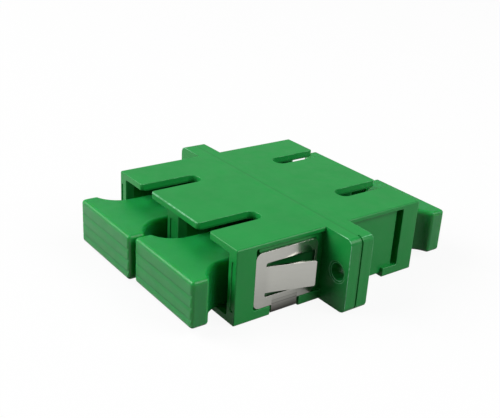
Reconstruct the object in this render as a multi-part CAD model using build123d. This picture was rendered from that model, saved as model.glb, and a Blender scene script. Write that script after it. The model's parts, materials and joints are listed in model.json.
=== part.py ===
from build123d import *
import os
from math import cos, radians, sin, sqrt, tan

# Duplex fibre adapter with two ports each way, lying on its bottom face.
# Origin: middle of the body in plan, on its bottom face. X runs across the two
# ears, Y runs along the fibres (the seam is y = 0) and Z is up, keyways on top.
# All sizes are in millimetres.

# Housing envelope
BODY_WIDTH = 25.9
BODY_HEIGHT = 9.3
BODY_LENGTH = 27.3
BODY_EDGE_RADIUS = 0.25
MOUTH_EDGE_RADIUS = 0.15

# Ports and the walls round them
PORT_PITCH = 12.7
PORT_WIDTH = 9.05
PORT_HEIGHT = 7.4
PORT_CORNER_RADIUS = 0.25
LEAD_IN_SIDE = 0.65
LEAD_IN_TOP = 0.15
LEAD_IN_DEPTH = 0.8
KEYWAY_WIDTH = 2.3
KEYWAY_END = 6.05
KEYWAY_CORNER_RADIUS = 1.0
KEYWAY_TIP_RADIUS = 0.45

# Core-outs in the end faces of the divider and of the outer walls
CORE_HEIGHT = 6.0
CORE_DEPTH = 0.3
CORE_RADIUS = 0.2
DIVIDER_CORE_WIDTH = 1.2
OUTER_CORE_WIDTH = 0.6
OUTER_CORE_FROM_SIDE = 0.6

# Mounting ears, reaching less far from the middle on one side of a half than on
# the other. Outside the body the seam between two ears is off the middle.
EAR_SPAN = 34.5
EAR_THIN = 1.45
EAR_THICK = 1.9
EAR_SEAM_SHIFT = 0.22
EAR_CORNER_RADIUS = 0.3
EAR_HOLE_FROM_END = 1.85
EAR_HOLE_RADIUS = 1.05
EAR_RING_RADIUS = 1.3
EAR_RING_DEPTH = 0.1
SEAM_GROOVE_DEPTH = 0.2
SEAM_GROOVE_WIDTH = 0.1
SEAM_GROOVE_REACH = 0.9

# Weld pins and sockets that line the two halves up
PIN_RADIUS = 0.5
PIN_LENGTH = 0.9
PIN_BESIDE_BODY = 0.7
PIN_RISE = 3.1
PIN_CLEARANCE = 0.06

# Sleeve holder: a plate with a barrel and two latch arms
HOLDER_PLATE_THICKNESS = 0.9
HOLDER_PLATE_GAP = 0.15
HOLDER_CORNER_RADIUS = 0.8
HOLDER_LEDGE_THICKNESS = 1.0
HOLDER_LEDGE_HEIGHT = 1.0
HOLDER_END_GAP = 0.05
BARREL_RADIUS = 2.35
BARREL_REACH = 6.8
BARREL_CHAMFER = 0.35
BARREL_LEAD_RADIUS = 1.8
BARREL_LEAD_DEPTH = 0.5
ARM_SIDE_GAP = 0.375
ARM_THICKNESS = 0.85
ARM_HEIGHT = 2.6
ARM_REACH = 8.95
ARM_ROOT_RADIUS = 0.5
HOOK_DEPTH = 0.4
HOOK_LENGTH = 1.25
HOOK_LAND = 0.35
HOOK_SLOPE = 0.3
HOOK_NOSE = 0.5

# Split alignment sleeve
SLEEVE_BORE_RADIUS = 1.25
SLEEVE_WALL = 0.35
SLEEVE_LENGTH = 11.4
SLEEVE_SLOT = 0.5
SLEEVE_CLEARANCE = 0.08
SLEEVE_END_GAP = 0.05
SLEEVE_STOP = 0.2

# Recess in each side wall for the panel clip
RECESS_DEPTH = 0.45
RECESS_END = 11.05
RECESS_FLOOR_LIP = 1.2
RECESS_TOP_LIP = 0.55
RECESS_RADIUS = 0.15
END_SLOT_WIDTH = 0.65
END_SLOT_DEPTH = 1.2
STRAP_FROM = 4.85
STRAP_WIDTH = 3.65
STRAP_SIDE_GAP = 0.25
STRAP_CHANNEL_GAP = 0.08
STRAP_CORNER_RELIEF = 0.12

# Panel clip, one strip of spring steel
CLIP_SHEET = 0.3
CLIP_SEAT_GAP = 0.05
CLIP_LOW_GAP = 0.05
CLIP_EAR_GAP = 0.45
CLIP_PORT_END_GAP = 0.07
CLIP_TOP_DROP = 0.63
CLIP_CORNER_RADIUS = 0.75
CLIP_BEND_RADIUS = 0.15
CLIP_FRAME_ROOT = 1.42
CLIP_FRAME_TOP = 1.4
CLIP_FRAME_BOTTOM = 1.25
CLIP_FRAME_END = 0.3
CLIP_SLOT = 0.5
TONGUE_REACH = 6.2
TONGUE_ANGLE = 15.0
TONGUE_BEND_RADIUS = 3.0
TONGUE_CORNER_RADIUS = 0.3
TONGUE_ROOT = 0.7

# Push-in dust plug
PLUG_HEAD_WIDTH = 12.3
PLUG_HEIGHT = 5.7
PLUG_REACH = 5.15
PLUG_SHANK_WIDTH = 7.2
PLUG_WAIST_RADIUS = 3.6
PLUG_WAIST_INSET = 0.45
PLUG_NOSE_TAPER = 0.45
PLUG_NOSE_GAP = 0.2
PLUG_HOOK_GAP = 0.12
PLUG_FLOOR_GAP = 0.05
PLUG_EDGE_RADIUS = 0.45
PLUG_STEPS = 3
PLUG_FIRST_STEP = 1.62
PLUG_STEP_PITCH = 1.43
PLUG_STEP_RUN = 0.7
PLUG_STEP_DEPTH = 0.12
PLUG_STEP_LEDGE = 0.06
PLUG_CORE_WIDTH = 3.3
PLUG_CORE_HEIGHT = 3.2
PLUG_CORE_DEPTH = 6.5
PLUG_STANDOFFS = {"left": 0.55, "right": 0.0}

# Sizes that follow from the ones above
HALF_LENGTH = BODY_LENGTH / 2
SIDE = BODY_WIDTH / 2
AXIS_Z = BODY_HEIGHT / 2
PORT_TOP = AXIS_Z + PORT_HEIGHT / 2
PORT_FLOOR = AXIS_Z - PORT_HEIGHT / 2
PORT_CENTRES = {"left": -PORT_PITCH / 2, "right": PORT_PITCH / 2}
PLATE_POCKET = HOLDER_PLATE_THICKNESS + HOLDER_END_GAP
LEDGE_END = PLATE_POCKET + HOLDER_LEDGE_THICKNESS
ARM_OUTER = PORT_WIDTH / 2 - ARM_SIDE_GAP
ARM_INNER = ARM_OUTER - ARM_THICKNESS
SLEEVE_RADIUS = SLEEVE_BORE_RADIUS + SLEEVE_WALL
CHAMBER_RADIUS = SLEEVE_RADIUS + SLEEVE_CLEARANCE
CHAMBER_DEPTH = SLEEVE_LENGTH / 2 + SLEEVE_END_GAP
CLIP_INNER = SIDE - RECESS_DEPTH + CLIP_SEAT_GAP
CLIP_OUTER = CLIP_INNER + CLIP_SHEET
CHANNEL_DEPTH = CLIP_SHEET + STRAP_CHANNEL_GAP


def along_fibres(depth=0.0):
    """Plane across the fibres, so far from the seam towards the front mouth."""
    return Plane.XZ.offset(depth)


def across_section(depth, length, x, z, outline):
    """Extrude an outline centred on (x, z) along the fibres, away from the seam."""
    return extrude(along_fibres(depth) * Pos(x, z) * outline, length)


def side_block(side, y_range, z_range, x_range, radius):
    """Block with rounded corners in side view, on the side given by +1 or -1."""
    width = y_range[1] - y_range[0]
    height = z_range[1] - z_range[0]
    view = Plane.YZ.offset(x_range[0])
    middle = Pos(sum(y_range) / 2, sum(z_range) / 2)
    block = extrude(view * middle * RectangleRounded(width, height, radius), x_range[1] - x_range[0])
    return block if side > 0 else mirror(block, Plane.YZ)


# Housing: two like halves, welded at the seam. The half is drawn as the front
# one, and the back one is the same moulding turned half a turn about Z.
def body_block():
    """Outer block of one half with the edges of its end face rounded."""
    outline = RectangleRounded(BODY_WIDTH, BODY_HEIGHT, BODY_EDGE_RADIUS)
    block = across_section(0, HALF_LENGTH, 0, AXIS_Z, outline)
    end_face = block.faces().sort_by(Axis.Y)[0]
    return fillet(end_face.edges(), MOUTH_EDGE_RADIUS)


def ears():
    """The two ears of one half, with screw holes, rings and a groove at the seam."""
    outline = RectangleRounded(EAR_SPAN, BODY_HEIGHT, EAR_CORNER_RADIUS)
    inset = RectangleRounded(
        EAR_SPAN - 2 * SEAM_GROOVE_DEPTH,
        BODY_HEIGHT - 2 * SEAM_GROOVE_DEPTH,
        EAR_CORNER_RADIUS - SEAM_GROOVE_DEPTH,
    )
    pair = None
    for side, thickness in ((1, EAR_THIN), (-1, EAR_THICK)):
        seam = -side * EAR_SEAM_SHIFT
        root = Pos(side * SIDE / 2, 0) * Rectangle(SIDE, BODY_HEIGHT)
        beside_body = Pos(side * (SIDE + EAR_SPAN / 2) / 2, 0) * Rectangle(EAR_SPAN / 2 - SIDE, BODY_HEIGHT)
        ear = across_section(0, thickness, 0, AXIS_Z, outline & root)
        ear += across_section(seam, thickness - seam, 0, AXIS_Z, outline & beside_body)
        outboard = Pos(side * EAR_SPAN / 2, 0) * Rectangle(2 * SEAM_GROOVE_REACH, BODY_HEIGHT)
        ear -= across_section(seam, SEAM_GROOVE_WIDTH, 0, AXIS_Z, (outline - inset) & outboard)
        hole_x = side * (EAR_SPAN / 2 - EAR_HOLE_FROM_END)
        ear -= across_section(seam, thickness - seam, hole_x, AXIS_Z, Circle(EAR_HOLE_RADIUS))
        ring_start = thickness - EAR_RING_DEPTH
        ear -= across_section(ring_start, EAR_RING_DEPTH, hole_x, AXIS_Z, Circle(EAR_RING_RADIUS))
        pair = ear if pair is None else pair + ear
    return pair


def port_space(x):
    """All that is hollow in one port of a half: mouth, port, ledge window and pocket."""
    port = RectangleRounded(PORT_WIDTH, PORT_HEIGHT, PORT_CORNER_RADIUS)
    flared = RectangleRounded(
        PORT_WIDTH + 2 * LEAD_IN_SIDE,
        PORT_HEIGHT + 2 * LEAD_IN_TOP,
        PORT_CORNER_RADIUS,
    )
    window = Rectangle(PORT_WIDTH, PORT_HEIGHT - 2 * HOLDER_LEDGE_HEIGHT)
    throat = HALF_LENGTH - LEAD_IN_DEPTH
    mouth = loft([
        along_fibres(throat) * Pos(x, AXIS_Z) * port,
        along_fibres(HALF_LENGTH) * Pos(x, AXIS_Z) * flared,
    ])
    space = across_section(LEDGE_END, HALF_LENGTH - LEDGE_END, x, AXIS_Z, port)
    space += mouth
    space += across_section(PLATE_POCKET, HOLDER_LEDGE_THICKNESS, x, AXIS_Z, window)
    space += across_section(0, PLATE_POCKET, x, AXIS_Z, port)
    return space


def keyway(x):
    """Slot through the top wall for the key of a plug, with rounded tips at the mouth."""
    length = HALF_LENGTH - KEYWAY_END + KEYWAY_CORNER_RADIUS
    slot = RectangleRounded(KEYWAY_WIDTH, length, KEYWAY_CORNER_RADIUS)
    outline = Pos(x, -(KEYWAY_END + length / 2)) * slot
    corner = Rectangle(2 * KEYWAY_TIP_RADIUS, 2 * KEYWAY_TIP_RADIUS)
    for side in (-1, 1):
        tip_x = x + side * KEYWAY_WIDTH / 2
        middle = Pos(tip_x + side * KEYWAY_TIP_RADIUS, KEYWAY_TIP_RADIUS - HALF_LENGTH)
        outline += Pos(tip_x, -HALF_LENGTH) * corner - middle * Circle(KEYWAY_TIP_RADIUS)
    return extrude(Plane.XY.offset(AXIS_Z) * outline, BODY_HEIGHT - AXIS_Z)


def core_outs():
    """Blind slots that thin the divider and the two outer walls at their end faces."""
    start = HALF_LENGTH - CORE_DEPTH
    divider = RectangleRounded(DIVIDER_CORE_WIDTH, CORE_HEIGHT, CORE_RADIUS)
    outer = RectangleRounded(OUTER_CORE_WIDTH, CORE_HEIGHT, CORE_RADIUS)
    outer_x = SIDE - OUTER_CORE_FROM_SIDE
    slots = across_section(start, CORE_DEPTH, 0, AXIS_Z, divider)
    for x in (-outer_x, outer_x):
        slots += across_section(start, CORE_DEPTH, x, AXIS_Z, outer)
    return slots


def clip_recess(side, ear_thickness):
    """Side pocket for a clip wing: deeper at its end, open below where the strap passes."""
    depth = (SIDE - RECESS_DEPTH, SIDE)
    high = (RECESS_FLOOR_LIP, BODY_HEIGHT - RECESS_TOP_LIP)
    pocket = side_block(side, (-RECESS_END, -ear_thickness), high, depth, RECESS_RADIUS)
    slot_y = (-RECESS_END, -RECESS_END + END_SLOT_WIDTH)
    pocket += side_block(side, slot_y, high, (SIDE - END_SLOT_DEPTH, SIDE), RECESS_RADIUS)
    notch_y = (-(STRAP_FROM + STRAP_WIDTH + STRAP_SIDE_GAP), -(STRAP_FROM - STRAP_SIDE_GAP))
    notch_z = (-RECESS_FLOOR_LIP, 2 * RECESS_FLOOR_LIP)
    return pocket + side_block(side, notch_y, notch_z, depth, RECESS_RADIUS)


def strap_channel():
    """Shallow channel across the bottom for the strap, with room for its two bends."""
    end = SIDE - RECESS_DEPTH
    inset = end - STRAP_CORNER_RELIEF
    section = Polyline(
        (-end, 0),
        (-end, CHANNEL_DEPTH + STRAP_CORNER_RELIEF),
        (-inset, CHANNEL_DEPTH),
        (inset, CHANNEL_DEPTH),
        (end, CHANNEL_DEPTH + STRAP_CORNER_RELIEF),
        (end, 0),
        close=True,
    )
    width = STRAP_WIDTH + 2 * STRAP_SIDE_GAP
    return extrude(along_fibres(STRAP_FROM - STRAP_SIDE_GAP) * make_face(section), width)


def seam_fittings(half):
    """Add the weld pins on the thin-ear side and sink their sockets on the other."""
    pin_x = SIDE + PIN_BESIDE_BODY
    for z in (AXIS_Z - PIN_RISE, AXIS_Z + PIN_RISE):
        pin = across_section(-EAR_SEAM_SHIFT - PIN_LENGTH, PIN_LENGTH, pin_x, z, Circle(PIN_RADIUS))
        tip = pin.edges().sort_by(Axis.Y)[-1]
        half += chamfer(tip, PIN_RADIUS / 2)
        socket = Circle(PIN_RADIUS + PIN_CLEARANCE)
        half -= across_section(EAR_SEAM_SHIFT, PIN_LENGTH + PIN_CLEARANCE, -pin_x, z, socket)
    return half


def housing_half():
    """One half: body, ears, ports, keyways, core-outs, clip recesses and pins."""
    half = body_block() + ears()
    for x in PORT_CENTRES.values():
        half -= port_space(x)
        half -= keyway(x)
    half -= core_outs()
    half -= clip_recess(1, EAR_THIN)
    half -= clip_recess(-1, EAR_THICK)
    half -= strap_channel()
    return seam_fittings(half)


# Sleeve holder: barrel for half a split sleeve, between two sprung latch arms.
def barrel():
    """Turned section of the barrel, revolved about the fibre axis."""
    section = Polyline(
        (CHAMBER_RADIUS, 0),
        (BARREL_RADIUS, 0),
        (BARREL_RADIUS, -BARREL_REACH + BARREL_CHAMFER),
        (BARREL_RADIUS - BARREL_CHAMFER, -BARREL_REACH),
        (BARREL_LEAD_RADIUS, -BARREL_REACH),
        (SLEEVE_RADIUS - SLEEVE_STOP, -BARREL_REACH + BARREL_LEAD_DEPTH),
        (SLEEVE_RADIUS - SLEEVE_STOP, -CHAMBER_DEPTH),
        (CHAMBER_RADIUS, -CHAMBER_DEPTH),
        close=True,
    )
    return Pos(0, 0, AXIS_Z) * revolve(make_face(section), Axis.Y)


def latch_arm():
    """Right-hand latch arm in plan, with a sloped hook on its inner side."""
    hook_back = -(ARM_REACH - HOOK_LENGTH)
    nose = ARM_INNER - HOOK_DEPTH
    outline = Polyline(
        (ARM_INNER, 0),
        (ARM_INNER, hook_back),
        (nose, hook_back - HOOK_SLOPE),
        (nose, hook_back - HOOK_SLOPE - HOOK_LAND),
        (nose + HOOK_NOSE, -ARM_REACH),
        (ARM_OUTER, -ARM_REACH),
        (ARM_OUTER, 0),
        close=True,
    )
    start = Plane.XY.offset(AXIS_Z - ARM_HEIGHT / 2)
    return extrude(start * make_face(outline), ARM_HEIGHT)


def sleeve_holder():
    """Front holder about its own axis: plate, barrel and two latch arms in one."""
    plate_width = PORT_WIDTH - 2 * HOLDER_PLATE_GAP
    plate_height = PORT_HEIGHT - 2 * HOLDER_PLATE_GAP
    plate = RectangleRounded(plate_width, plate_height, HOLDER_CORNER_RADIUS)
    holder = across_section(0, HOLDER_PLATE_THICKNESS, 0, AXIS_Z, plate - Circle(CHAMBER_RADIUS))
    holder += barrel()
    arm = latch_arm()
    holder += arm + mirror(arm, Plane.YZ)
    roots = holder.edges().filter_by(Axis.Z).filter_by_position(
        Axis.Y, -HOLDER_PLATE_THICKNESS - HOOK_SLOPE, -HOLDER_PLATE_THICKNESS + HOOK_SLOPE
    )
    inner_roots = [e for e in roots if abs(abs(e.center().X) - ARM_INNER) < HOOK_SLOPE]
    return fillet(inner_roots, ARM_ROOT_RADIUS)


def split_sleeve():
    """Ceramic sleeve with one slot along its length, on its own axis."""
    ring = Circle(SLEEVE_RADIUS) - Circle(SLEEVE_BORE_RADIUS)
    slot = Pos(0, SLEEVE_RADIUS) * Rectangle(SLEEVE_SLOT, 2 * SLEEVE_WALL + SLEEVE_SLOT)
    return across_section(-SLEEVE_LENGTH / 2, SLEEVE_LENGTH, 0, AXIS_Z, ring - slot)


# Panel clip: a strap under the body joins two wings, and each wing has a
# tongue cut on three sides and bent out, which holds the adapter in a panel.
CLIP_FRONT_Y = -(RECESS_END - CLIP_PORT_END_GAP)
CLIP_BACK_Y = -(EAR_THICK + CLIP_EAR_GAP)
CLIP_TOP_Z = BODY_HEIGHT - RECESS_TOP_LIP - CLIP_TOP_DROP
CLIP_LOW_Z = RECESS_FLOOR_LIP + CLIP_LOW_GAP
WINDOW_Y = (CLIP_FRONT_Y + CLIP_FRAME_ROOT, CLIP_BACK_Y - CLIP_FRAME_END)
WINDOW_Z = (CLIP_LOW_Z + CLIP_FRAME_BOTTOM, CLIP_TOP_Z - CLIP_FRAME_TOP)
TONGUE_Z = (WINDOW_Z[0] + CLIP_SLOT, WINDOW_Z[1] - CLIP_SLOT)


def strap():
    """U-shaped band under the body and up both sides, bent from flat strip."""
    low = STRAP_CHANNEL_GAP / 2
    outer_radius = CLIP_BEND_RADIUS + CLIP_SHEET
    rise = CLIP_TOP_Z - CLIP_CORNER_RADIUS - low
    middle_z = low + rise
    outer = Pos(0, middle_z) * RectangleRounded(2 * CLIP_OUTER, 2 * rise, outer_radius)
    inner_rise = rise - CLIP_SHEET
    inner = Pos(0, middle_z) * RectangleRounded(2 * CLIP_INNER, 2 * inner_rise, CLIP_BEND_RADIUS)
    lower_half = Pos(0, middle_z - rise / 2) * Rectangle(2 * CLIP_OUTER, rise)
    return extrude(along_fibres(STRAP_FROM) * ((outer - inner) & lower_half), STRAP_WIDTH)


def tongue():
    """Right-hand tongue: bent out from the wing at its root, straight to its end."""
    mid_x = (CLIP_INNER + CLIP_OUTER) / 2
    root_y = WINDOW_Y[0] - TONGUE_ROOT
    bend = radians(TONGUE_ANGLE)
    bend_y = WINDOW_Y[0] + TONGUE_BEND_RADIUS * tan(bend / 2)
    straight = TONGUE_REACH - TONGUE_BEND_RADIUS * tan(bend / 2)
    path = FilletPolyline(
        (mid_x, root_y),
        (mid_x, bend_y),
        (mid_x + straight * sin(bend), bend_y + straight * cos(bend)),
        radius=TONGUE_BEND_RADIUS,
    )
    strip = extrude(Plane.XY.offset(TONGUE_Z[0]) * trace(path, CLIP_SHEET), TONGUE_Z[1] - TONGUE_Z[0])
    end_y = bend_y + straight * cos(bend)
    reach_x = (CLIP_INNER - CLIP_SHEET, CLIP_OUTER + TONGUE_REACH)
    return strip & side_block(1, (root_y, end_y), TONGUE_Z, reach_x, TONGUE_CORNER_RADIUS)


def panel_clip():
    """Whole clip: strap, two wings with windows, and the two tongues."""
    sheet = (CLIP_INNER, CLIP_OUTER)
    wing = side_block(1, (CLIP_FRONT_Y, CLIP_BACK_Y), (CLIP_LOW_Z, CLIP_TOP_Z), sheet, CLIP_CORNER_RADIUS)
    window = side_block(1, WINDOW_Y, WINDOW_Z, sheet, CLIP_SLOT / 2)
    side_wing = wing - window + tongue()
    clip = strap() - window - mirror(window, Plane.YZ)
    return clip + side_wing + mirror(side_wing, Plane.YZ)


# Dust plug: a wide stepped grip on a waisted shank that fills the port.
def plug_outline():
    """Plan of the front plug about its port's middle, from the nose to the grip."""
    grip_y = -(HALF_LENGTH + PLUG_REACH)
    nose_y = -(BARREL_REACH + PLUG_NOSE_GAP)
    shoulder_y = -(ARM_REACH + PLUG_NOSE_GAP)
    waist_y = -(HALF_LENGTH - PLUG_WAIST_INSET)
    head = PLUG_HEAD_WIDTH / 2
    shank = PLUG_SHANK_WIDTH / 2
    nose = ARM_INNER - HOOK_DEPTH - PLUG_HOOK_GAP
    flare = head - shank
    drop = sqrt(PLUG_WAIST_RADIUS**2 - (PLUG_WAIST_RADIUS - flare) ** 2)
    right = Polyline(
        (0, nose_y),
        (nose, nose_y),
        (nose, shoulder_y),
        (shank, shoulder_y - PLUG_NOSE_TAPER),
        (shank, waist_y),
    )
    right += RadiusArc((shank, waist_y), (head, waist_y - drop), -PLUG_WAIST_RADIUS)
    right += Polyline((head, waist_y - drop), (head, grip_y), (0, grip_y))
    return make_face(right + mirror(right, Plane.YZ))


def grip_steps():
    """Cuts for the shallow steps across the end of the grip, each rounded below its ledge."""
    grip_y = -(HALF_LENGTH + PLUG_REACH)
    top_z = PORT_FLOOR + PLUG_FLOOR_GAP + PLUG_HEIGHT
    rise = PLUG_STEP_RUN - PLUG_STEP_LEDGE
    radius = (rise**2 + PLUG_STEP_DEPTH**2) / (2 * PLUG_STEP_DEPTH)
    across = Plane.YZ.offset(-PLUG_HEAD_WIDTH / 2)
    cuts = []
    for i in range(PLUG_STEPS):
        ledge_z = top_z - PLUG_FIRST_STEP - i * PLUG_STEP_PITCH
        foot = (grip_y + PLUG_STEP_DEPTH, ledge_z - PLUG_STEP_LEDGE)
        end = (grip_y, ledge_z - PLUG_STEP_RUN)
        outside = grip_y - PLUG_STEP_DEPTH
        section = Polyline(end, (outside, end[1]), (outside, ledge_z), (grip_y, ledge_z), foot)
        section += RadiusArc(foot, end, -radius)
        cuts.append(extrude(across * make_face(section), PLUG_HEAD_WIDTH))
    return cuts


def dust_plug():
    """Front dust plug about its port's middle: stepped grip, waist, shank and cored nose."""
    low_z = PORT_FLOOR + PLUG_FLOOR_GAP
    plug = extrude(Plane.XY.offset(low_z) * plug_outline(), PLUG_HEIGHT)
    waist_y = -(HALF_LENGTH - PLUG_WAIST_INSET)
    outside = [e for e in plug.edges() if e.center().Y < waist_y]
    plug = fillet(outside, PLUG_EDGE_RADIUS)
    for cut in grip_steps():
        plug -= cut
    nose_y = BARREL_REACH + PLUG_NOSE_GAP
    core = RectangleRounded(PLUG_CORE_WIDTH, PLUG_CORE_HEIGHT, CORE_RADIUS)
    return plug - across_section(nose_y, PLUG_CORE_DEPTH, 0, low_z + PLUG_HEIGHT / 2, core)


def write(shape, node):
    """Write one node, named after the piece."""
    export_step(shape, f"parts/{node}.step")


os.makedirs("parts", exist_ok=True)
half_turn = Rot(0, 0, 180)

front_half = housing_half()
write(front_half, "housing_front")
write(half_turn * front_half, "housing_back")

holder = sleeve_holder()
sleeve = split_sleeve()
for name, x in PORT_CENTRES.items():
    write(Pos(x, 0, 0) * holder, f"sleeve_holder_front_{name}")
    write(Pos(x, 0, 0) * half_turn * holder, f"sleeve_holder_back_{name}")
    write(Pos(x, 0, 0) * sleeve, f"split_sleeve_{name}")

# The plugs are pushed in by hand, so two of them stand a little further out. The
# back ones are the front ones turned half a turn, like the halves.
plug = dust_plug()
for name, opposite in (("left", "right"), ("right", "left")):
    front_plug = Pos(PORT_CENTRES[name], -PLUG_STANDOFFS[name], 0) * plug
    write(front_plug, f"dust_plug_front_{name}")
    write(half_turn * front_plug, f"dust_plug_back_{opposite}")

write(panel_clip(), "panel_clip")
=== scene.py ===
import json
from math import copysign, pi, radians, sqrt

import bmesh
import bpy
from mathutils import Matrix, Vector

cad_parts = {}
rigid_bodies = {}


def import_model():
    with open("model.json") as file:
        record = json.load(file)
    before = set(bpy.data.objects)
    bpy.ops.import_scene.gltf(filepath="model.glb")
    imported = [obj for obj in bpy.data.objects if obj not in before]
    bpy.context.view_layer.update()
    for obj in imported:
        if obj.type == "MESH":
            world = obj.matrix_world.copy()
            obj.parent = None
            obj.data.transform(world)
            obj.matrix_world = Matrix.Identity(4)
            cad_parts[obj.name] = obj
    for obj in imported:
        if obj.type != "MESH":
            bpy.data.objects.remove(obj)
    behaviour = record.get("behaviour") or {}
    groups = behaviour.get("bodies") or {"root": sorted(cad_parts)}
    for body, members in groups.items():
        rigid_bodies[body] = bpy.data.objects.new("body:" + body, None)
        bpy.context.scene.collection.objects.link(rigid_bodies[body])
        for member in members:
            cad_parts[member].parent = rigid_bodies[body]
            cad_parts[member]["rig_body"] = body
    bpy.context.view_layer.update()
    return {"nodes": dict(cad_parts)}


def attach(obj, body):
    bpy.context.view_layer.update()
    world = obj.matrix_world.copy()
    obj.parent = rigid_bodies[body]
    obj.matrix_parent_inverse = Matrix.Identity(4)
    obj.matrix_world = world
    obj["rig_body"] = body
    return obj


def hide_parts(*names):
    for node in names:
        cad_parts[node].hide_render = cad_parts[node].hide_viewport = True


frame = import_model()

# Housing halves
# Two like mouldings of green filled plastic, welded together at the seam between
# the ears. Their edges are a little rounded, and pale where they rubbed.
MM = 0.001
MERGE_DISTANCE = 0.0005 * MM
FLAT_ANGLE = radians(0.5)
CORNER_ANGLE = radians(32)
SHADING_ANGLE = radians(50)
SEAM_REACH = 0.33 * MM
HOUSING_EDGE = 0.06 * MM
EAR_ROOT = 13.2 * MM
EAR_END_X = 17.25 * MM
EAR_HEIGHT = 9.3 * MM
EAR_CORNER = 0.8 * MM
SOLID_CORNER = 0.3 * MM
CORNER_CUTS = (0.0, 0.2, 0.4)
CORE_FLOOR_Y = 13.35 * MM
RAISED_FLOOR_Y = 13.54 * MM

HOUSING_GREEN = (24, 148, 64)
HOUSING_PALE = (140, 212, 165)
# Dark green for the weld line, also used as painted shade in the ports and behind the clip.
HOUSING_SHADE = (10, 84, 34)
HOUSING_ROUGHNESS = 0.36
PLASTIC_SHEEN = 0.32
CLOUD_SHADE = 0.93
CLOUD_SIZE = 4 * MM
CLOUD_SPREAD = (0.35, 0.65)
RUB_SIZE = 0.9 * MM
RUB_SPREAD = (0.42, 0.68)
RUB_STRENGTH = 0.3
SMEAR_SIZE = 1.6 * MM
SMEAR_SPREAD = (0.3, 0.7)
SMEAR_SMOOTHER = 0.05
SMEAR_ROUGHER = 0.07
GRAIN_SIZE = 0.22 * MM
SINK_SIZE = 3.2 * MM
RELIEF_DEPTH = 0.006 * MM

SEAM_BAND = (1.14 * MM, 1.9 * MM)
SEAM_LINE_PITCH = 1.0367 * MM
SEAM_LINE_DEPTH = 0.008 * MM
SEAM_LINE_WAVINESS = 0.6
WAVE_RADIANS = 20
WELD_HALF_WIDTH = (0.03 * MM, 0.13 * MM)
WELD_SHADE = 0.35
WORN_MOUTH_X = 5.5 * MM
WORN_MOUTH_Y = 13.5 * MM
WORN_MOUTH_Z = 9.16 * MM
MOUTH_WEAR = 0.6
WORN_EAR_X = (13.6 * MM, 15.4 * MM)
WORN_EAR_Y = 2.1 * MM
EAR_WEAR = (0.3, 1.0)
WEAR_SIZE = 0.5 * MM
WEAR_SPREAD = (0.4, 0.6)
WEAR_RANGE = (0.3, 1.0)
# Painted shade inside the ports and on the divider's end face, where the plugs and walls keep
# light out.
INSIDE_X = 11.4 * MM
INSIDE_Y = 13.6 * MM
INSIDE_Z = (0.9 * MM, 8.6 * MM)
DIVIDER_X = 1.9 * MM
PAINTED_PORT_SHADE = 0.5
# Painted shade on the recess floor seen through the clip's windows.
CLIP_RECESS_SHADE_X = (12.3 * MM, 12.56 * MM)
CLIP_RECESS_SHADE_Y = (-10.98 * MM, -2.35 * MM)
CLIP_RECESS_SHADE_Z = (1.25 * MM, 8.12 * MM)


def linear(colour):
    """Red, green and blue from 0 to 255 as a linear colour with full alpha."""
    shares = [value / 255 for value in colour]
    return [v / 12.92 if v < 0.04045 else ((v + 0.055) / 1.055) ** 2.4 for v in shares] + [1.0]


def darker(colour, share):
    """The given share of a colour from 0 to 255, as a linear colour with full alpha."""
    return [channel * share for channel in linear(colour)[:3]] + [1.0]


def add_node(tree, kind, inputs=None, **settings):
    """One shader node with its settings, and with its inputs set or linked."""
    node = tree.nodes.new(kind)
    for name, value in settings.items():
        setattr(node, name, value)
    for name, value in (inputs or {}).items():
        if isinstance(value, bpy.types.NodeSocket):
            tree.links.new(value, node.inputs[name])
        else:
            node.inputs[name].default_value = value
    return node


def new_material(name, **shader_values):
    """A material with its shader's uniform values set, its tree and its shader."""
    material = bpy.data.materials.new(name)
    material.use_nodes = True
    shader = material.node_tree.nodes["Principled BSDF"]
    for socket, value in shader_values.items():
        shader.inputs[socket.replace("_", " ")].default_value = value
    return material, material.node_tree, shader


def object_place(tree):
    """Where a point lies in the object, as a vector and as its three axes."""
    place = add_node(tree, "ShaderNodeTexCoord").outputs["Object"]
    return place, add_node(tree, "ShaderNodeSeparateXYZ", {"Vector": place}).outputs


def stretched(tree, place, stretch):
    """The place with each axis scaled, so that a pattern runs long where it is small."""
    inputs = {"Vector": place, "Scale": stretch}
    return add_node(tree, "ShaderNodeMapping", inputs).outputs["Vector"]


def grain(tree, place, size, detail=2.0):
    """Noise over the object with blotches of the given size in metres."""
    inputs = {"Vector": place, "Scale": 1 / size, "Detail": detail}
    return add_node(tree, "ShaderNodeTexNoise", inputs).outputs["Fac"]


def remap(tree, value, low, high, to_low=0.0, to_high=1.0):
    """The value spread from one range to another, and kept inside it."""
    inputs = {"Value": value, "From Min": low, "From Max": high}
    inputs.update({"To Min": to_low, "To Max": to_high})
    return add_node(tree, "ShaderNodeMapRange", inputs).outputs["Result"]


def reckon(tree, operation, first, second=0.0):
    """One arithmetic step on two values."""
    node = add_node(tree, "ShaderNodeMath", operation=operation)
    for socket, value in zip(node.inputs, (first, second)):
        if isinstance(value, bpy.types.NodeSocket):
            tree.links.new(value, socket)
        else:
            socket.default_value = value
    return node.outputs["Value"]


def product(tree, *values):
    """All the values multiplied together."""
    total = values[0]
    for value in values[1:]:
        total = reckon(tree, "MULTIPLY", total, value)
    return total


def between(tree, value, low, high):
    """1 where the value lies between the two limits, and 0 elsewhere."""
    above = reckon(tree, "GREATER_THAN", value, low)
    return product(tree, above, reckon(tree, "LESS_THAN", value, high))


def blend_colours(tree, factor, first, second):
    """Colour that goes from the first to the second as the factor rises."""
    mix = add_node(tree, "ShaderNodeMix", {"Factor": factor}, data_type="RGBA")
    sockets = [socket for socket in mix.inputs if socket.type == "RGBA"]
    for socket, value in zip(sockets, (first, second)):
        if isinstance(value, bpy.types.NodeSocket):
            tree.links.new(value, socket)
        else:
            socket.default_value = value
    return next(socket for socket in mix.outputs if socket.type == "RGBA")


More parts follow.
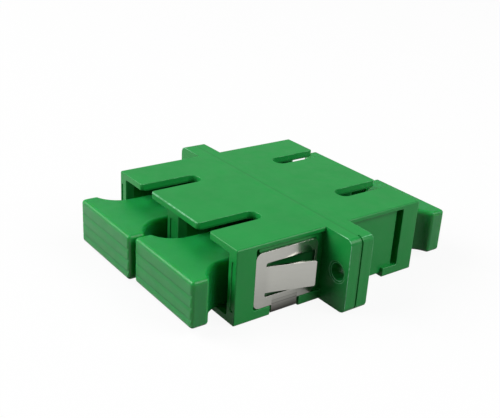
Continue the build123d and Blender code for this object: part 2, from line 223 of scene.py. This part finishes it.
def bump(tree, height, depth, under=None):
    """Normal of a surface raised by the height, which runs from 0 to 1, times a depth."""
    inputs = {"Height": height, "Distance": depth}
    if under is not None:
        inputs["Normal"] = under
    return add_node(tree, "ShaderNodeBump", inputs).outputs["Normal"]


def moulded_plastic(name, colour, pale, roughness):
    """Moulded plastic with uneven colour, fine mould grain and rubbed edges."""
    material, tree, shader = new_material(name, Specular_IOR_Level=PLASTIC_SHEEN)
    place, axes = object_place(tree)
    cloud = remap(tree, grain(tree, place, CLOUD_SIZE, detail=3.0), *CLOUD_SPREAD)
    body = blend_colours(tree, cloud, darker(colour, CLOUD_SHADE), linear(colour))

    on_edge = add_node(tree, "ShaderNodeAttribute", attribute_name="edge").outputs["Fac"]
    ragged = remap(tree, grain(tree, place, RUB_SIZE, detail=4.0), *RUB_SPREAD)
    rubbed = product(tree, on_edge, ragged, RUB_STRENGTH)
    surface = blend_colours(tree, rubbed, body, linear(pale))
    tree.links.new(surface, shader.inputs["Base Color"])

    smear = remap(
        tree,
        grain(tree, place, SMEAR_SIZE, detail=3.0),
        *SMEAR_SPREAD,
        roughness - SMEAR_SMOOTHER,
        roughness + SMEAR_ROUGHER,
    )
    tree.links.new(smear, shader.inputs["Roughness"])

    relief = bump(tree, grain(tree, place, GRAIN_SIZE, detail=3.0), RELIEF_DEPTH)
    relief = bump(tree, grain(tree, place, SINK_SIZE, detail=1.0), RELIEF_DEPTH, relief)
    tree.links.new(relief, shader.inputs["Normal"])
    parts = {
        "tree": tree,
        "shader": shader,
        "place": place,
        "axes": axes,
        "size": {name: reckon(tree, "ABSOLUTE", axes[name]) for name in "XYZ"},
        "surface": surface,
        "relief": relief,
        "on_edge": on_edge,
    }
    return material, parts


def dress_housing(parts):
    """Add what only the housing has: weld lines, worn edges, and painted shade in the ports
    and behind the clip.
    """
    tree, axes, size = parts["tree"], parts["axes"], parts["size"]
    pale, shade = linear(HOUSING_PALE), linear(HOUSING_SHADE)
    near_seam = remap(tree, size["Y"], *SEAM_BAND, 1.0, 0.0)
    wave = {"Vector": parts["place"], "Distortion": SEAM_LINE_WAVINESS, "Detail": 2.0}
    wave["Scale"] = 2 * pi / (WAVE_RADIANS * SEAM_LINE_PITCH)
    lines = add_node(tree, "ShaderNodeTexWave", wave, bands_direction="Y").outputs["Fac"]
    lines = product(tree, near_seam, lines)
    relief = bump(tree, lines, SEAM_LINE_DEPTH, parts["relief"])
    tree.links.new(relief, parts["shader"].inputs["Normal"])

    at_mouth = product(
        tree,
        reckon(tree, "GREATER_THAN", size["Y"], WORN_MOUTH_Y),
        reckon(tree, "GREATER_THAN", axes["Z"], WORN_MOUTH_Z),
        reckon(tree, "LESS_THAN", size["X"], WORN_MOUTH_X),
        MOUTH_WEAR,
    )
    at_ear = product(
        tree,
        parts["on_edge"],
        reckon(tree, "LESS_THAN", size["Y"], WORN_EAR_Y),
        remap(tree, size["X"], *WORN_EAR_X, *EAR_WEAR),
    )
    patches = grain(tree, parts["place"], WEAR_SIZE, detail=4.0)
    patches = remap(tree, patches, *WEAR_SPREAD, *WEAR_RANGE)
    worn = product(tree, reckon(tree, "MAXIMUM", at_mouth, at_ear), patches)
    surface = blend_colours(tree, worn, parts["surface"], pale)

    weld = remap(tree, size["Y"], *WELD_HALF_WIDTH, WELD_SHADE, 0.0)
    surface = blend_colours(tree, weld, surface, shade)

    # Painted shade: the ports' inner walls and the divider's end face are darkened towards the
    # shade green.
    port_shade_mask = product(
        tree,
        reckon(tree, "LESS_THAN", size["X"], INSIDE_X),
        reckon(tree, "LESS_THAN", size["Y"], INSIDE_Y),
    )
    divider_shade_mask = reckon(tree, "LESS_THAN", size["X"], DIVIDER_X)
    inside = reckon(tree, "MAXIMUM", port_shade_mask, divider_shade_mask)
    dim = product(tree, inside, between(tree, axes["Z"], *INSIDE_Z), PAINTED_PORT_SHADE)
    surface = blend_colours(tree, dim, surface, shade)

    # Painted shade: the recess floor behind the clip takes the shade green, as if deep in
    # shadow.
    painted_recess_shade = product(
        tree,
        between(tree, size["X"], *CLIP_RECESS_SHADE_X),
        between(tree, axes["Y"], *CLIP_RECESS_SHADE_Y),
        between(tree, axes["Z"], *CLIP_RECESS_SHADE_Z),
    )
    surface = blend_colours(tree, painted_recess_shade, surface, shade)
    tree.links.new(surface, parts["shader"].inputs["Base Color"])


def is_outer_corner(edge):
    """True for a sharp edge that stands out, apart from those where the halves meet."""
    at_seam = all(abs(vertex.co.y) < SEAM_REACH for vertex in edge.verts)
    stands_out = edge.is_manifold and edge.is_convex and edge.calc_face_angle() > CORNER_ANGLE
    return stands_out and not at_seam


def join_facets(shape):
    """Join the facets of each flat face into one."""
    bmesh.ops.dissolve_limit(
        shape, angle_limit=FLAT_ANGLE, verts=shape.verts, edges=shape.edges
    )


def raise_core_floors(shape):
    """Make the core-outs in the end faces as shallow as they are on the real adapter."""
    for vertex in shape.verts:
        if abs(abs(vertex.co.y) - CORE_FLOOR_Y) < MERGE_DISTANCE:
            vertex.co.y = copysign(RAISED_FLOOR_Y, vertex.co.y)


def past_corner(vertex):
    """How far a vertex lies past the centre of the nearest ear corner, out and up or down."""
    outwards = abs(vertex.co.x) - EAR_END_X + EAR_CORNER
    upwards = abs(vertex.co.z - EAR_HEIGHT / 2) - EAR_HEIGHT / 2 + EAR_CORNER
    return Vector((outwards, upwards))


def round_ears(shape):
    """Round the ears' outer corners further than the solid's, as on the real adapter."""
    cuts = []
    for side in (-1, 1):
        for share in CORNER_CUTS:
            inset = EAR_CORNER * (1 - share)
            cut_z = EAR_HEIGHT / 2 + side * (EAR_HEIGHT / 2 - inset)
            cuts.append(((side * (EAR_END_X - inset), 0, 0), (1, 0, 0)))
            cuts.append(((0, 0, cut_z), (0, 0, 1)))
    for place, normal in cuts:
        verts = [v for v in shape.verts if abs(v.co.x) > EAR_ROOT]
        edges = [e for e in shape.edges if any(abs(v.co.x) > EAR_ROOT for v in e.verts)]
        faces = [f for f in shape.faces if any(abs(v.co.x) > EAR_ROOT for v in f.verts)]
        bmesh.ops.bisect_plane(
            shape,
            geom=verts + edges + faces,
            dist=MERGE_DISTANCE,
            plane_co=place,
            plane_no=normal,
        )

    straight = EAR_CORNER - SOLID_CORNER
    for vertex in shape.verts:
        offset = past_corner(vertex)
        if min(offset) <= 0:
            continue
        low, high = sorted(offset.normalized())
        if low * EAR_CORNER <= high * straight:
            outline = EAR_CORNER / high
        else:
            on_arc = sqrt(SOLID_CORNER**2 - (straight * (high - low)) ** 2)
            outline = straight * (low + high) + on_arc
        step = offset * (EAR_CORNER / outline - 1)
        vertex.co.x += copysign(1, vertex.co.x) * step.x
        vertex.co.z += copysign(1, vertex.co.z - EAR_HEIGHT / 2) * step.y
    join_facets(shape)


def softened(node, edge_width, material, reshaping=()):
    """Piece that stands for a CAD solid: facets joined, corners rounded and marked."""
    shape = bmesh.new()
    shape.from_mesh(frame["nodes"][node].data)
    bmesh.ops.remove_doubles(shape, verts=shape.verts, dist=MERGE_DISTANCE)
    join_facets(shape)
    for reshape in reshaping:
        reshape(shape)
    marks = shape.faces.layers.float.new("edge")
    rounded = bmesh.ops.bevel(
        shape,
        geom=[edge for edge in shape.edges if is_outer_corner(edge)],
        offset=edge_width,
        offset_type="OFFSET",
        segments=2,
        profile=0.5,
        affect="EDGES",
        material=-1,
    )
    for face in rounded["faces"]:
        face[marks] = 1.0
    mesh = bpy.data.meshes.new(f"dressed_{node}")
    shape.to_mesh(mesh)
    shape.free()
    for leftover in [a.name for a in mesh.attributes if a.name == "custom_normal"]:
        mesh.attributes.remove(mesh.attributes[leftover])
    mesh.shade_smooth()
    mesh.set_sharp_from_angle(angle=SHADING_ANGLE)
    mesh.materials.append(material)
    piece = bpy.data.objects.new(mesh.name, mesh)
    bpy.context.scene.collection.objects.link(piece)
    piece.modifiers.new("even_shading", "WEIGHTED_NORMAL").keep_sharp = True
    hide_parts(node)
    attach(piece, frame["nodes"][node]["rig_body"])


housing_plastic, parts = moulded_plastic(
    "moulded_green_housing", HOUSING_GREEN, HOUSING_PALE, HOUSING_ROUGHNESS
)
dress_housing(parts)
for half in ("front", "back"):
    softened(
        f"housing_{half}",
        HOUSING_EDGE,
        housing_plastic,
        reshaping=(raise_core_floors, round_ears),
    )

# Sleeve holders
# Cream plastic mouldings, one for each port, each a plate with a barrel and two
# sprung latch arms. They are trapped between the halves when these are welded.
HOLDER_EDGE = 0.04 * MM
HOLDER_CREAM = (226, 221, 204)
HOLDER_PALE = (240, 238, 228)
HOLDER_ROUGHNESS = 0.45

holder_plastic, _ = moulded_plastic(
    "moulded_cream_holder", HOLDER_CREAM, HOLDER_PALE, HOLDER_ROUGHNESS
)
for half in ("front", "back"):
    for hand in ("left", "right"):
        softened(f"sleeve_holder_{half}_{hand}", HOLDER_EDGE, holder_plastic)

# Alignment sleeves
# Ground white ceramic tubes with one slot along them, which spring round the two
# ferrules. Each floats in the barrels of the two holders that face each other.
SLEEVE_EDGE = 0.04 * MM
SLEEVE_WHITE = (240, 238, 230)
SLEEVE_SHADE = 0.93
SLEEVE_ROUGHNESS = 0.22
SLEEVE_SHEEN = 0.7
SLEEVE_CLOUD_SIZE = 1.5 * MM
GRINDING_STRETCH = (1.0, 0.05, 1.0)
GRINDING_SIZE = 0.05 * MM
GRINDING_DEPTH = 0.001 * MM

ceramic, tree, shader = new_material(
    "ground_ceramic_sleeve", Roughness=SLEEVE_ROUGHNESS, Specular_IOR_Level=SLEEVE_SHEEN
)
place, _ = object_place(tree)
cloud = grain(tree, place, SLEEVE_CLOUD_SIZE, detail=3.0)
surface = blend_colours(tree, cloud, darker(SLEEVE_WHITE, SLEEVE_SHADE), linear(SLEEVE_WHITE))
tree.links.new(surface, shader.inputs["Base Color"])
grinding = grain(tree, stretched(tree, place, GRINDING_STRETCH), GRINDING_SIZE)
tree.links.new(bump(tree, grinding, GRINDING_DEPTH), shader.inputs["Normal"])
for hand in ("left", "right"):
    softened(f"split_sleeve_{hand}", SLEEVE_EDGE, ceramic)

# Panel clip
# One strip of stainless spring steel, stamped and bent to a U round the front
# half. Its strap lies in a channel, and its tongues spring out to hold a panel.
CLIP_EDGE = 0.015 * MM
CLIP_GREY = (181, 180, 174)
CLIP_SHADE = 0.9
CLIP_BRIGHT = (190, 188, 180)
CLIP_ROUGHNESS = (0.12, 0.2)
HANDLED_SIZE = 1.2 * MM
HANDLED_SPREAD = (0.3, 0.7)
ROLLING_STRETCH = (0.05, 0.05, 1.0)
ROLLING_SIZE = 0.1 * MM
ROLLING_DEPTH = 0.0015 * MM
# Colour for the strap's fine dark lines and for its painted reflection of the dark table.
STRAP_BROWN = (38, 35, 32)
STRAP_SIDE_X = 12.2 * MM
STRAP_Y = (-8.5 * MM, -4.85 * MM)
STRAP_DARKENING_Z = (0.3 * MM, 2.4 * MM)
STRAP_SHADE_POWER = 1.4
STRAP_LINE_PITCH = 0.42 * MM
STRAP_LINE_START = 0.3
STRAP_LINE_FADE = 0.5
STRAP_LINE_STRENGTH = 0.7

steel, tree, shader = new_material("stamped_spring_steel", Metallic=1.0)
place, axes = object_place(tree)
streaks = grain(tree, stretched(tree, place, ROLLING_STRETCH), ROLLING_SIZE, detail=3.0)
surface = blend_colours(tree, streaks, darker(CLIP_GREY, CLIP_SHADE), linear(CLIP_GREY))
on_edge = add_node(tree, "ShaderNodeAttribute", attribute_name="edge").outputs["Fac"]
surface = blend_colours(tree, on_edge, surface, linear(CLIP_BRIGHT))

# The strap's side grows darker towards its bottom, a painted reflection of the dark table
# beside the adapter, and carries fine dark lines that fade upwards.
lowness = remap(tree, axes["Z"], *STRAP_DARKENING_Z, 1.0, 0.0)
wave = reckon(tree, "SINE", product(tree, axes["Z"], 2 * pi / STRAP_LINE_PITCH))
dark_lines = product(
    tree,
    remap(tree, wave, STRAP_LINE_START, 1.0),
    remap(tree, lowness, 0.0, STRAP_LINE_FADE, 0.0, STRAP_LINE_STRENGTH),
)
strap_lines_and_shade = reckon(tree, "MAXIMUM", dark_lines, reckon(tree, "POWER", lowness, STRAP_SHADE_POWER))
strap_lines_and_shade = product(
    tree,
    reckon(tree, "GREATER_THAN", reckon(tree, "ABSOLUTE", axes["X"]), STRAP_SIDE_X),
    between(tree, axes["Y"], *STRAP_Y),
    strap_lines_and_shade,
)
surface = blend_colours(tree, strap_lines_and_shade, surface, linear(STRAP_BROWN))
tree.links.new(surface, shader.inputs["Base Color"])
handled = grain(tree, place, HANDLED_SIZE, detail=3.0)
handled = remap(tree, handled, *HANDLED_SPREAD, *CLIP_ROUGHNESS)
tree.links.new(handled, shader.inputs["Roughness"])
tree.links.new(bump(tree, streaks, ROLLING_DEPTH), shader.inputs["Normal"])
softened("panel_clip", CLIP_EDGE, steel)

# Dust plugs
# Soft green mouldings pushed into the four ports, each with a waist for the
# finger tips and three shallow steps across its end.
PLUG_EDGE = 0.02 * MM
PLUG_GREEN = (26, 154, 71)
PLUG_PALE = (60, 175, 98)
PLUG_SHADE = (12, 96, 42)
PLUG_ROUGHNESS = 0.34
PLUG_WAXINESS = 1.0
PLUG_SCATTER = (0.3, 1.0, 0.4)
PLUG_SCATTER_REACH = 1.6 * MM
# Where the painted shade under the steps on the plugs' ends lies.
PLUG_STEPS_X = (0.7 * MM, 12.0 * MM)
PLUG_STEPS_Y = 18.5 * MM
PLUG_LEDGE_Z = 5.08 * MM
PLUG_LEDGE_PITCH = 1.43 * MM
PLUG_SHADE_SHARE = 0.16

plug_plastic, parts = moulded_plastic(
    "moulded_green_plug", PLUG_GREEN, PLUG_PALE, PLUG_ROUGHNESS
)
tree, shader, axes, size = (parts[name] for name in ("tree", "shader", "axes", "size"))
shader.inputs["Subsurface Weight"].default_value = PLUG_WAXINESS
shader.inputs["Subsurface Radius"].default_value = PLUG_SCATTER
shader.inputs["Subsurface Scale"].default_value = PLUG_SCATTER_REACH
# Painted shade: a dark band just under each step's ledge on the plug's end, where the ledge
# shades it.
drop = reckon(tree, "SUBTRACT", PLUG_LEDGE_Z, axes["Z"])
from_ledge = reckon(tree, "FRACT", reckon(tree, "DIVIDE", drop, PLUG_LEDGE_PITCH))
painted_step_shade = product(
    tree,
    remap(tree, from_ledge, 0.0, PLUG_SHADE_SHARE, 1.0, 0.0),
    reckon(tree, "GREATER_THAN", drop, 0.0),
    reckon(tree, "GREATER_THAN", size["Y"], PLUG_STEPS_Y),
    between(tree, size["X"], *PLUG_STEPS_X),
)
surface = blend_colours(tree, painted_step_shade, parts["surface"], linear(PLUG_SHADE))
tree.links.new(surface, shader.inputs["Base Color"])
for half in ("front", "back"):
    for hand in ("left", "right"):
        softened(f"dust_plug_{half}_{hand}", PLUG_EDGE, plug_plastic)

# Table
# A white sheet that the adapter lies on. It shows as plain white, also mirrored
# in the steel, but still takes the adapter's shadow.
TABLE_REACH = 1.5
TABLE_DROP = 0.01 * MM
TABLE_ROUGHNESS = 0.9
TABLE_WHITE = (240, 240, 240)
TABLE_GREY = (70, 70, 70)
TABLE_GLOW = 0.92
TABLE_MIRRORED_GLOW = 0.3


def ray_kinds(tree):
    """Three values, 1 for a ray seen directly, for one mirrored and for one through glass."""
    path = add_node(tree, "ShaderNodeLightPath").outputs
    return [path[f"Is {kind} Ray"] for kind in ("Camera", "Glossy", "Transmission")]


paper, tree, shader = new_material(
    "white_sheet", Roughness=TABLE_ROUGHNESS, Specular_IOR_Level=0.0
)
direct, mirrored, through = ray_kinds(tree)
seen = reckon(tree, "MAXIMUM", reckon(tree, "MAXIMUM", direct, mirrored), through)
surface = blend_colours(tree, seen, linear(TABLE_GREY), linear(TABLE_WHITE))
tree.links.new(surface, shader.inputs["Base Color"])
glow_share = reckon(
    tree,
    "MAXIMUM",
    product(tree, direct, TABLE_GLOW),
    product(tree, mirrored, TABLE_MIRRORED_GLOW),
)
glow = add_node(tree, "ShaderNodeEmission", {"Strength": 1.0})
sheet_shader = add_node(tree, "ShaderNodeMixShader", {"Fac": glow_share})
tree.links.new(shader.outputs["BSDF"], sheet_shader.inputs[1])
tree.links.new(glow.outputs["Emission"], sheet_shader.inputs[2])
output = tree.nodes["Material Output"]
tree.links.new(sheet_shader.outputs["Shader"], output.inputs["Surface"])

shape = bmesh.new()
bmesh.ops.create_grid(shape, x_segments=1, y_segments=1, size=TABLE_REACH)
bmesh.ops.translate(shape, verts=shape.verts, vec=(0, 0, -TABLE_DROP))
table_mesh = bpy.data.meshes.new("table")
shape.to_mesh(table_mesh)
shape.free()
table_mesh.materials.append(paper)
table = bpy.data.objects.new("table", table_mesh)
bpy.context.scene.collection.objects.link(table)

# Studio light
# A broad soft lamp above the front left, a weaker one above the back right, and a
# dim room, so that the top is brightest, then the port ends, then the clip's side.
ROOM_WHITE = (1.0, 1.0, 1.0, 1.0)
ROOM_STRENGTH = 0.05
ROOM_MIRRORED = 0.4
LAMP_WIDTH = 0.5
LAMP_DISTANCE = 0.7
LAMPS = {
    "key": {"tilt": 53, "turn": 142, "power": 5.8},
    "fill": {"tilt": 50, "turn": 302, "power": 3.6},
}

world = bpy.data.worlds.new("studio")
bpy.context.scene.world = world
world.use_nodes = True
tree = world.node_tree
direct, mirrored, through = ray_kinds(tree)
strength = reckon(tree, "MAXIMUM", direct, through)
strength = reckon(tree, "MAXIMUM", strength, product(tree, mirrored, ROOM_MIRRORED))
strength = reckon(tree, "MAXIMUM", strength, ROOM_STRENGTH)
background = tree.nodes["Background"]
background.inputs["Color"].default_value = ROOM_WHITE
tree.links.new(strength, background.inputs["Strength"])

for name, setting in LAMPS.items():
    lamp_data = bpy.data.lights.new(name, "AREA")
    lamp_data.size = LAMP_WIDTH
    lamp_data.energy = setting["power"]
    lamp = bpy.data.objects.new(name, lamp_data)
    bpy.context.scene.collection.objects.link(lamp)
    turn = Matrix.Rotation(radians(setting["turn"]), 4, "Z")
    tilt = Matrix.Rotation(-radians(setting["tilt"]), 4, "X")
    lamp.matrix_world = turn @ tilt @ Matrix.Translation((0, 0, LAMP_DISTANCE))

# Camera
# Close above the right front corner, looking down along the front ports, and
# turned a little about its own axis as it was held.
CAMERA_AZIMUTH = 52.66
CAMERA_ELEVATION = 23.84
CAMERA_ROLL = 3.49
CAMERA_DISTANCE = 104.6 * MM
CAMERA_TARGET = Vector((-3.08, -0.13, 4.9)) * MM
CAMERA_LENS = 58.06
SENSOR_WIDTH = 36.0

camera_data = bpy.data.cameras.new("camera")
camera_data.sensor_width = SENSOR_WIDTH
camera_data.lens = CAMERA_LENS
camera_data.clip_start = MM
camera = bpy.data.objects.new("camera", camera_data)
bpy.context.scene.collection.objects.link(camera)
turn = Matrix.Rotation(radians(CAMERA_AZIMUTH), 4, "Z")
tilt = Matrix.Rotation(radians(90 - CAMERA_ELEVATION), 4, "X")
away = Matrix.Translation((0, 0, CAMERA_DISTANCE))
roll = Matrix.Rotation(radians(CAMERA_ROLL), 4, "Z")
camera.matrix_world = Matrix.Translation(CAMERA_TARGET) @ turn @ tilt @ away @ roll
bpy.context.scene.camera = camera

bpy.context.scene.view_settings.view_transform = "Standard"
